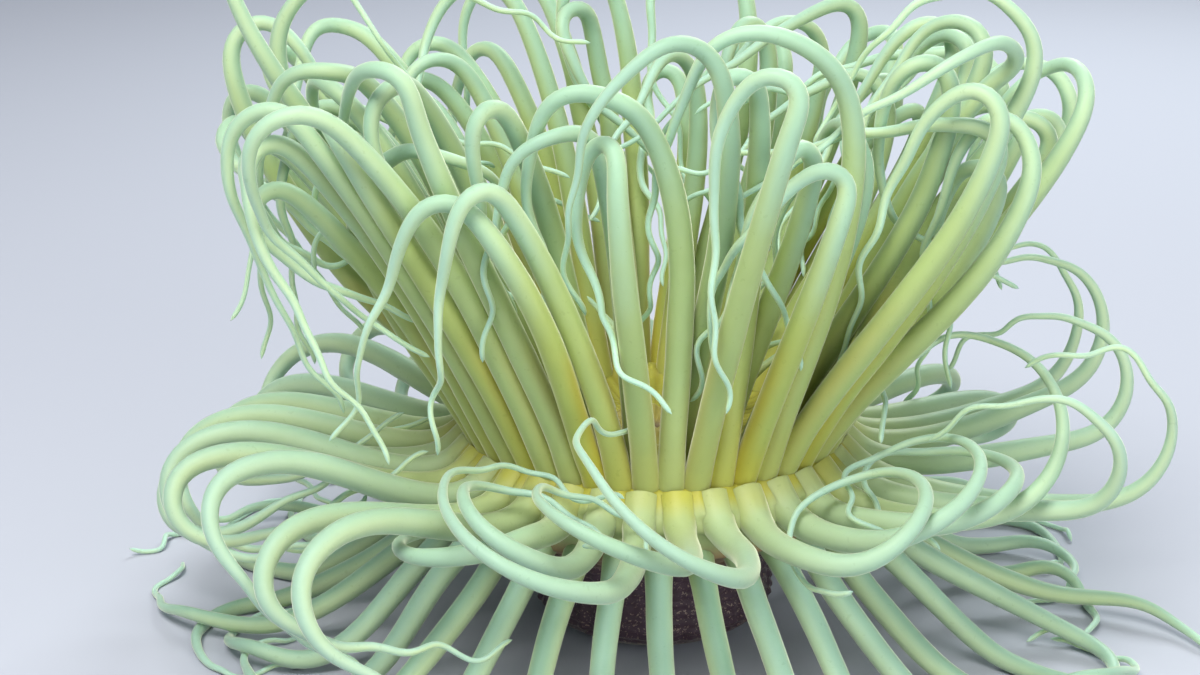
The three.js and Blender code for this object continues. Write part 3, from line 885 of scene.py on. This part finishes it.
def line_mesh(name, lines, settings):
    """The whorl's centre lines as edges, with each point's thickness, share, tone and strip."""
    spots, edges = [], []
    values = {"thickness": [], "along": [], "tone": [], "strip": []}
    count = 0
    for index, (curve, thick) in enumerate(lines):
        curve, radius, shares = stepped(name, curve, thick, settings)
        spots.append(curve * MM)
        edges.append(np.stack([np.arange(len(curve) - 1), np.arange(1, len(curve))], axis=1) + count)
        count += len(curve)
        values["thickness"].append(radius * MM)
        values["along"].append(shares)
        values["tone"].append(np.full(len(curve), chance(SEEDS[name] + index, 30)))
        values["strip"].append(np.full(len(curve), float(index)))
    mesh = bpy.data.meshes.new(name + "_lines")
    mesh.from_pydata(np.concatenate(spots).tolist(), np.concatenate(edges).tolist(), [])
    for key, rows in values.items():
        set_point_values(mesh, key, np.concatenate(rows))
    return mesh


def rim_light_masks(mesh):
    """How far each point of a skin faces its neighbours round the body, from 0 to 1: the mask of the painted
    rim light.
    """
    spots = read(mesh.vertices, "co", np.float32, 3).reshape(-1, 3)
    normals = read(mesh.vertex_normals, "vector", np.float32, 3).reshape(-1, 3)
    outward = unit(spots[:, :2])
    return np.abs(normals[:, 0] * outward[:, 1] - normals[:, 1] * outward[:, 0])


def raise_whorl(name, stops, edges, pale):
    """Sweeps a whorl's tentacles, in these colours, and stands them in for their solids."""
    settings = bpy.context.scene.anemone_tentacles
    lines = skin_lines(settings)[name]
    tree, inputs = sweep_tree()
    host = placed(name + "_host", line_mesh(name, lines, settings))
    modifier = host.modifiers.new("sweep", "NODES")
    modifier.node_group = tree
    modifier[inputs["Sides"]] = settings.sides
    modifier[inputs["Swell"]] = settings.swell
    modifier[inputs["Seed"]] = float(SEEDS[name])
    modifier[inputs["Finish"]] = tentacle_finish(name, stops, edges, pale)
    graph = bpy.context.evaluated_depsgraph_get()
    mesh = bpy.data.meshes.new_from_object(host.evaluated_get(graph), depsgraph=graph)
    bpy.data.objects.remove(host)
    if not mesh.polygons:
        raise RuntimeError(f"the {name} tentacles came out empty")
    mesh.name = name + "_tentacles"
    around = point_values(mesh, "around")
    unwrap(mesh, around, point_values(mesh, "along"), point_values(mesh, "strip"), len(lines))
    set_point_values(mesh, "rim_light_mask", rim_light_masks(mesh))
    nodes = [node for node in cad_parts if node.startswith(name + "_")]
    return put(name + "_tentacles", mesh, nodes)


_GROWN = {}


def skin_lines(settings):
    """Every whorl's soft curves and their radii, grown and kept apart once."""
    if not _GROWN:
        soft = [
            (name, *flowing(name, points, taper, SEEDS[name] + index, settings))
            for name, lines in grow().items()
            for index, (points, taper) in enumerate(lines)
        ]
        names, curves, radii = zip(*soft)
        for name, curve, thick in zip(names, kept_apart(curves, radii), radii):
            _GROWN.setdefault(name, []).append((curve, thick))
    return _GROWN


# ---- The body's skin -------------------------------------------------------------------------------

ROUND = 384  # vertices round the body
STEP = 0.6  # along its profile, in millimetres
MOUTH_DEPTH = 2.6
MOUTH_HALF = 0.75  # across the slit
MOUTH_ENDS = 4.6, 7  # where the slit runs out, from the middle


def body_profile():
    """Radius and height, in millimetres, from the middle of the foot over the margin to the mouth."""
    foot, column, collar = (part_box(name)[1] / MM for name in ("foot", "column", "collar"))
    disc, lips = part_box("oral_disc")[1] / MM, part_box("lips")[1] / MM
    upright, spreading = WHORLS["upright"], WHORLS["spreading"]
    return [
        (0, 0), (9, 0), (17, 0), (23, 2.4), (26.4, 6.2), (foot.x, foot.z), (26.6, 16), (28.4, 21),
        (33, 25.2), (column.x + 1, column.z + 0.4), (43.2, 30.4), (44.8, 33.6), (45.6, 36.6),
        (spreading["ring"] + 1.6, spreading["height"] - 1), (spreading["ring"] + 1, 41.6),
        (44.6, 43.4), (43, 45), (41.2, upright["height"]), (36.6, upright["height"] + 0.2),
        (34, 48.4), (30.6, 48.3), (disc.x - 1, disc.z - 0.4), (24, 46), (18.8, 45.2), (14.6, 45.9),
        (lips.x + 0.6, 45.3), (8.2, lips.z), (5, 46.3), (2.4, 45.4), (0, 45),
    ]


def turned_profile(profile, step):
    """Points a step apart on a smooth curve through the profile, and their shares of it."""
    points = np.array(profile, float)
    padded = np.concatenate([2 * points[:1] - points[1:2], points, 2 * points[-1:] - points[-2:-1]])
    t = np.linspace(0, 1, 24, endpoint=False)[:, None]
    fine = [
        0.5 * (2 * b + (c - a) * t + (2 * a - 5 * b + 4 * c - d) * t**2 + (3 * b - a - 3 * c + d) * t**3)
        for a, b, c, d in zip(padded, padded[1:], padded[2:], padded[3:])
    ]
    even = evenly(np.concatenate([*fine, points[-1:]]), step)
    return even, np.linspace(0, 1, len(even))


def ripples(angle, high, counts, salt):
    """Uneven ripples round the body, from waves of several counts, between -1 and 1."""
    total = sum(
        np.sin(count * angle + 6.28 * chance(count, salt) + 0.35 * np.sin(high / 3 + count))
        for count in counts
    )
    return total / len(counts)


def relief(settings, turn, out, high, upper):
    """How far the skin stands proud of its profile, and the disc's dark lines, round the body."""
    wrinkle, groove = settings.wrinkle / MM, settings.groove / MM
    lower = 1 - upper
    column = lower * smoothstep(1.5, 6, high) * (1 - smoothstep(24, 29, high))
    folds = ripples(turn, high, (31, 38, 47), 1) + 0.8 * np.sin(high * 2.9 + 2 * np.sin(3 * turn))
    lift = column * wrinkle * folds
    start = math.radians(WHORLS["drooping"]["start"])
    under = lower * smoothstep(24, 28, high) * (1 - smoothstep(35, 38, high))
    lift += under * 0.7 * np.cos(WHORLS["drooping"]["count"] * (turn - start) + math.pi)
    shelf = smoothstep(43, 45.5, out) * smoothstep(36, 38, high) * (1 - smoothstep(41, 43.5, high))
    lift += shelf * 0.8 * np.cos(WHORLS["spreading"]["count"] * turn + math.pi)
    stems = smoothstep(36, 38, high) * smoothstep(41, 42.5, high) * smoothstep(39.5, 41.5, out)
    lift += stems * 0.5 * np.cos(WHORLS["upright"]["count"] * turn + math.pi)
    disc = upper * smoothstep(11, 13, out) * (1 - smoothstep(33, 36, out))
    ridges = np.cos(72 * turn + 0.5 * np.sin(5 * turn))
    lift += disc * groove * ridges
    lips = upper * (1 - smoothstep(10, 12, out)) * smoothstep(1.5, 5, out)
    lift += lips * 0.4 * np.cos(20 * turn + 0.6 * np.sin(3 * turn))
    return lift, disc * (0.5 - 0.5 * ridges)


def painted(finish, out, high, upper, slit):
    """The skin's colours, each fading into the next: column, darker towards the foot, margin, disc and lips,
    and painted shade near black in the mouth's slit.
    """
    column, blush, root = np.array(finish.column), np.array(finish.blush), np.array(finish.root)
    spread, disc = np.array(finish.spread), np.array(finish.disc)
    layers = [
        (smoothstep(20, 29, high), blush),
        (smoothstep(31, 36, high), 0.5 * root + 0.5 * spread),
        (smoothstep(42, 45, high), root),
        (upper * (1 - smoothstep(34, 38, out)), disc),
        (upper * (1 - smoothstep(9, 13, out)), 0.6 * disc + 0.4 * blush),
        (upper * (1 - smoothstep(0.5, 4, out)), 0.5 * blush),
        # Painted shade: near black in the mouth's slit, for the shade inside the opening.
        (slit, 0.12 * blush),
    ]
    colour = column * (0.75 + 0.25 * smoothstep(4, 22, high))[..., None]
    for share, over in layers:
        colour = colour + (over - colour) * share[..., None]
    return colour


def body_mesh(settings, finish):
    """The body as one closed skin, with its folds, scallops, grooves and slit mouth."""
    profile, shares = turned_profile(body_profile(), STEP)
    inner = profile[1:-1]
    angle = np.linspace(0, 2 * math.pi, ROUND, endpoint=False)
    turn, out = np.meshgrid(angle, inner[:, 0])
    high = np.repeat(inner[:, 1:], ROUND, axis=1)
    share = np.repeat(shares[1:-1, None], ROUND, axis=1)
    upper = (share > 0.5).astype(float)
    slope = np.gradient(inner, axis=0)
    normal = unit(np.stack([slope[:, 1], -slope[:, 0]], axis=1))
    lift, stripe = relief(settings, turn, out, high, upper)
    wide = out + lift * normal[:, :1]
    tall = high + lift * normal[:, 1:]
    x, y = wide * np.sin(turn), -wide * np.cos(turn)
    slit = np.exp(-((y / MOUTH_HALF) ** 2)) * (1 - smoothstep(*MOUTH_ENDS, np.abs(x))) * upper
    tall = np.maximum(tall - MOUTH_DEPTH * slit, 0)
    grid = np.stack([x, y, tall], axis=2).reshape(-1, 3)
    spots = np.concatenate([grid, [[0, 0, 0], [0, 0, profile[-1, 1] - MOUTH_DEPTH]]]) * MM

    rows = len(inner)
    ring = np.arange(ROUND)
    after = (ring + 1) % ROUND
    low = (np.arange(rows - 1) * ROUND)[:, None]
    quads = np.stack([low + ring, low + after, low + ROUND + after, low + ROUND + ring], axis=2)
    bottom = np.stack([np.full(ROUND, rows * ROUND), after, ring], axis=1)
    top = (rows - 1) * ROUND
    crown = np.stack([top + ring, top + after, np.full(ROUND, rows * ROUND + 1)], axis=1)
    mesh = bpy.data.meshes.new("body_skin")
    mesh.from_pydata(spots.tolist(), [], [*quads.reshape(-1, 4).tolist(), *bottom.tolist(), *crown.tolist()])
    mesh.shade_smooth()
    along = np.concatenate([share.ravel(), [0, 1]])
    around = np.concatenate([(turn / (2 * math.pi)).ravel(), [0.5, 0.5]])
    colours = painted(finish, out, high, upper, slit).reshape(-1, 3)
    colours = np.concatenate([colours, colours[:1], colours[-1:]])
    tinted = mesh.attributes.new("tint", "FLOAT_COLOR", "POINT")
    tinted.data.foreach_set("color", np.insert(colours, 3, 1, axis=1).astype(np.float32).ravel())
    set_point_values(mesh, "stripe", np.append(stripe, [0, 0]))
    set_point_values(mesh, "speckle", np.append((1 - upper) * (1 - smoothstep(22, 30, high)), [0, 0]))
    unwrap(mesh, around, along)
    return mesh


# ---- Operators -------------------------------------------------------------------------------------


class ANEMONE_OT_body(bpy.types.Operator):
    """Build the skin of the foot, column, margin, oral disc and lips"""

    bl_idname = "anemone.body"
    bl_label = "Body"

    def execute(self, context):
        mesh = body_mesh(context.scene.anemone_body, context.scene.anemone_finish)
        mesh.materials.append(body_finish())
        put("body", mesh, ("foot", "column", "collar", "oral_disc", "lips"))
        return {"FINISHED"}


class ANEMONE_OT_labial(bpy.types.Operator):
    """Build the short labial tentacles round the mouth"""

    bl_idname = "anemone.labial"
    bl_label = "Labial tentacles"

    def execute(self, context):
        finish = context.scene.anemone_finish
        stops = [(0, tint(finish.root, 0.8)), (0.3, finish.disc), (1, finish.spread)]
        # Painted light on the flanks: glow at the root, pale rims further out.
        edges = [(0, finish.painted_glow), (1, finish.painted_rim)]
        raise_whorl("labial", stops, edges, finish.end)
        return {"FINISHED"}


class ANEMONE_OT_inner(bpy.types.Operator):
    """Build the inner whorl of standing tentacles"""

    bl_idname = "anemone.inner"
    bl_label = "Inner tentacles"

    def execute(self, context):
        finish = context.scene.anemone_finish
        stops = [(0, finish.root), (0.16, tint(finish.stem, 0.92)), (0.5, finish.arch), (0.8, finish.end)]
        # Painted light on the flanks: glow low down, then lighter stem colour and pale rims.
        edges = [(0, finish.painted_glow), (0.3, tint(finish.stem, 1.1)), (0.6, finish.painted_rim)]
        # Some inner tentacles are toned towards the hanging ones' darker green, which is partly painted
        # shade.
        raise_whorl("inner", stops, edges, finish.droop)
        return {"FINISHED"}


class ANEMONE_OT_upright(bpy.types.Operator):
    """Build the main whorl of standing tentacles"""

    bl_idname = "anemone.upright"
    bl_label = "Upright tentacles"

    def execute(self, context):
        finish = context.scene.anemone_finish
        stem, arch = finish.stem, finish.arch
        stops = [(0, finish.root), (0.18, stem), (0.3, stem), (0.5, arch), (0.8, finish.end)]
        # Painted light on the flanks: glow low down, then lighter stem colour and pale rims.
        edges = [(0, finish.painted_glow), (0.16, finish.painted_glow), (0.32, tint(stem, 1.1)), (0.6, finish.painted_rim)]
        raise_whorl("upright", stops, edges, arch)
        return {"FINISHED"}


class ANEMONE_OT_spreading(bpy.types.Operator):
    """Build the whorl that spreads round the disc"""

    bl_idname = "anemone.spreading"
    bl_label = "Spreading tentacles"

    def execute(self, context):
        finish = context.scene.anemone_finish
        base = [0.5 * root + 0.5 * spread for root, spread in zip(finish.root, finish.spread)]
        end = tint(finish.end, 0.8)
        stops = [(0, finish.root), (0.09, base), (0.3, finish.spread), (0.8, end)]
        # Painted rim light on the flanks, from a little way out from the root.
        edges = [(0, finish.root), (0.12, base), (0.3, tint(finish.painted_rim, 0.9)), (1, finish.painted_rim)]
        raise_whorl("spreading", stops, edges, end)
        return {"FINISHED"}


class ANEMONE_OT_drooping(bpy.types.Operator):
    """Build the outer whorl that hangs to the floor"""

    bl_idname = "anemone.drooping"
    bl_label = "Drooping tentacles"

    def execute(self, context):
        finish = context.scene.anemone_finish
        # The hanging tentacles' darker green is partly painted shade beneath the crown.
        stops = [(0, tint(finish.stem, 0.9)), (0.1, finish.droop), (0.5, finish.droop), (1, finish.end)]
        # Painted rim light on the flanks: lighter stem colour, then pale rims.
        edges = [(0, tint(finish.stem, 1.1)), (0.2, finish.painted_rim), (1, finish.painted_rim)]
        raise_whorl("drooping", stops, edges, finish.end)
        return {"FINISHED"}


def area_light(name, at, aim, size, power, colour):
    data = bpy.data.lights.new(name, "AREA")
    data.shape = "DISK"
    data.size = size
    data.energy = power
    data.color = colour
    light = placed(name, data)
    light.location = at
    light.rotation_euler = (Vector(aim) - Vector(at)).to_track_quat("-Z", "Y").to_euler()


class ANEMONE_OT_stage(bpy.types.Operator):
    """Set up the floor, the soft lights and the camera"""

    bl_idname = "anemone.stage"
    bl_label = "Stage"

    def execute(self, context):
        scene, stage = context.scene, context.scene.anemone_stage
        aim = Vector(stage.aim)
        paint = bpy.data.materials.new("floor_paint")
        paint.use_nodes = True
        shader = paint.node_tree.nodes["Principled BSDF"]
        feed(paint.node_tree, shader, Base_Color=(*stage.floor, 1), Roughness=0.9, Specular_IOR_Level=0.1)
        mesh = bpy.data.meshes.new("floor")
        mesh.from_pydata([(-8, -8, 0), (8, -8, 0), (8, 8, 0), (-8, 8, 0)], [], [(0, 1, 2, 3)])
        mesh.materials.append(paint)
        placed("floor", mesh)

        area_light("key", (-0.2, -0.45, 0.95), aim, 0.6, 12, (1, 0.99, 0.93))
        area_light("fill", (0.45, -0.8, 0.3), aim, 0.8, 5, (0.98, 1, 0.96))
        area_light("back", (0.3, 0.75, 0.7), aim, 0.5, 7, (0.94, 1, 0.96))
        world = bpy.data.worlds.new("studio")
        world.use_nodes = True
        background = world.node_tree.nodes["Background"]
        feed(world.node_tree, background, Color=(0.78, 0.82, 0.9, 1), Strength=0.38)
        scene.world = world
        scene.view_settings.view_transform = "Standard"

        data = bpy.data.cameras.new("camera")
        data.lens = data.sensor_width * stage.distance / stage.width
        data.clip_start, data.clip_end = 0.01, 30
        camera = placed("camera", data)
        back = Vector((0, -math.cos(stage.pitch), math.sin(stage.pitch)))
        camera.location = aim + back * stage.distance
        camera.rotation_euler = (math.pi / 2 - stage.pitch, 0, 0)
        scene.camera = camera
        return {"FINISHED"}


OPERATORS = (
    ANEMONE_OT_body,
    ANEMONE_OT_labial,
    ANEMONE_OT_inner,
    ANEMONE_OT_upright,
    ANEMONE_OT_spreading,
    ANEMONE_OT_drooping,
    ANEMONE_OT_stage,
)


class ANEMONE_PT_panel(bpy.types.Panel):
    """Settings and steps of the anemone"""

    bl_idname = "ANEMONE_PT_panel"
    bl_label = "Tube anemone"
    bl_space_type = "VIEW_3D"
    bl_region_type = "UI"
    bl_category = "Anemone"

    def draw(self, context):
        for name, group in SETTINGS.items():
            box = self.layout.box()
            box.label(text=group.__doc__)
            for key in group.__annotations__:
                box.prop(getattr(context.scene, name), key)
        for operator in OPERATORS:
            self.layout.operator(operator.bl_idname)


def register():
    for kind in (*SETTINGS.values(), *OPERATORS, ANEMONE_PT_panel):
        bpy.utils.register_class(kind)
    for name, group in SETTINGS.items():
        setattr(bpy.types.Scene, name, bpy.props.PointerProperty(type=group))


def unregister():
    for name in SETTINGS:
        delattr(bpy.types.Scene, name)
    for kind in (ANEMONE_PT_panel, *reversed(OPERATORS), *SETTINGS.values()):
        bpy.utils.unregister_class(kind)


def main():
    """Builds every piece in order."""
    register()
    bpy.ops.anemone.body()
    bpy.ops.anemone.labial()
    bpy.ops.anemone.inner()
    bpy.ops.anemone.upright()
    bpy.ops.anemone.spreading()
    bpy.ops.anemone.drooping()
    bpy.ops.anemone.stage()


if __name__ == "__main__":
    main()
